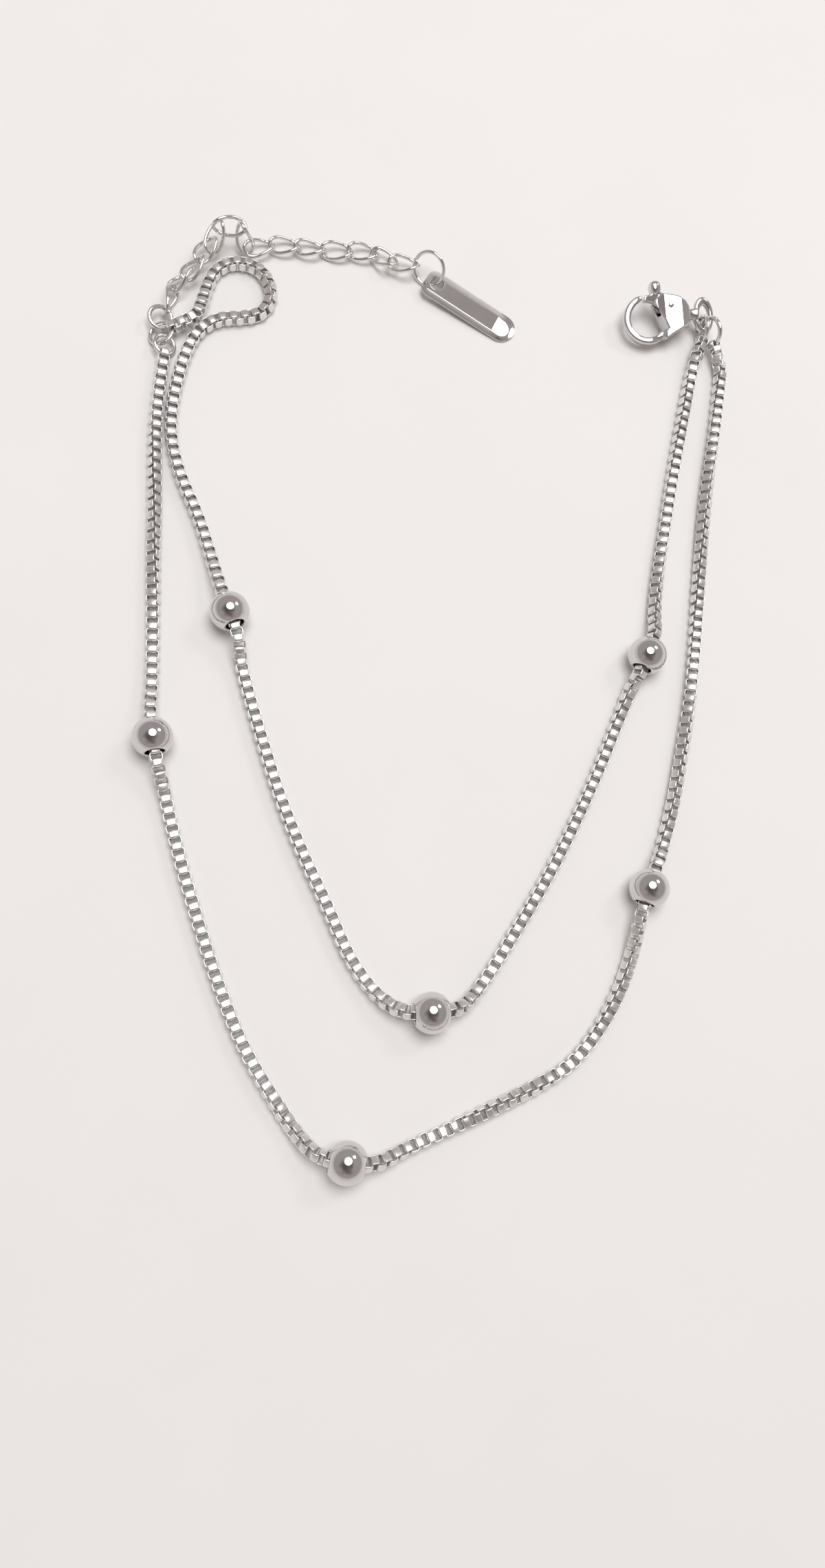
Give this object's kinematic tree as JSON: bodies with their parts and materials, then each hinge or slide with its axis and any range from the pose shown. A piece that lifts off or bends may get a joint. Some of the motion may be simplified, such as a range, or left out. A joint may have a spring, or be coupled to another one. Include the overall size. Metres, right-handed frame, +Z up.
{
  "type": "chain anklet",
  "caption": "Two-strand box-chain anklet with ball beads, a curb-link extender with an oblong tag, and a lobster clasp, lying open on a flat surface.",
  "frame": {"origin": "middle of the footprint, on the surface the anklet lies on", "axes": "+Z up from the surface; +Y from the closed lower curve of the strands towards their open ends; +X towards the lobster clasp, with the extender on -X"},
  "size_m": [0.0804, 0.1242, 0.005],
  "materials": {
    "box_chain": "polished stainless steel strip",
    "bead": "mirror polished stainless steel",
    "ring": "polished stainless steel wire",
    "curb_link": "polished stainless steel wire",
    "tag": "polished stainless steel, recessed panel",
    "clasp": "polished stainless steel"
  },
  "bodies": {
    "anklet": {"outer_chain": "box_chain", "inner_chain": "box_chain", "bead_outer_left": "bead", "bead_outer_bottom": "bead", "bead_outer_right": "bead", "bead_inner_left": "bead", "bead_inner_bottom": "bead", "bead_inner_right": "bead", "left_ring_main": "ring", "left_ring_middle": "ring", "left_ring_outer": "ring", "clasp_ring_inner": "ring", "clasp_ring_outer": "ring", "tag_ring": "ring", "extender_link_01": "curb_link", "extender_link_02": "curb_link", "extender_link_03": "curb_link", "extender_link_04": "curb_link", "extender_link_05": "curb_link", "extender_link_06": "curb_link", "extender_link_07": "curb_link", "extender_link_08": "curb_link", "extender_link_09": "curb_link", "extender_link_10": "curb_link", "extender_link_11": "curb_link", "extender_link_12": "curb_link", "extender_link_13": "curb_link", "extender_link_14": "curb_link", "tag": "tag", "clasp_body": "clasp", "clasp_pin": "clasp"},
    "clasp_gate": {"clasp_gate": "clasp"}
  },
  "joints": [
    {"name": "clasp_gate_hinge", "type": "hinge", "parent": "anklet", "child": "clasp_gate", "pos_m": [0.03124, 0.05495, 0.00281], "axis": [0.0653, -0.3357, 0.9397], "range_deg": [0, 22], "stiffness_Nm_per_rad": 0.002, "springref_deg": -20.05}
  ]
}
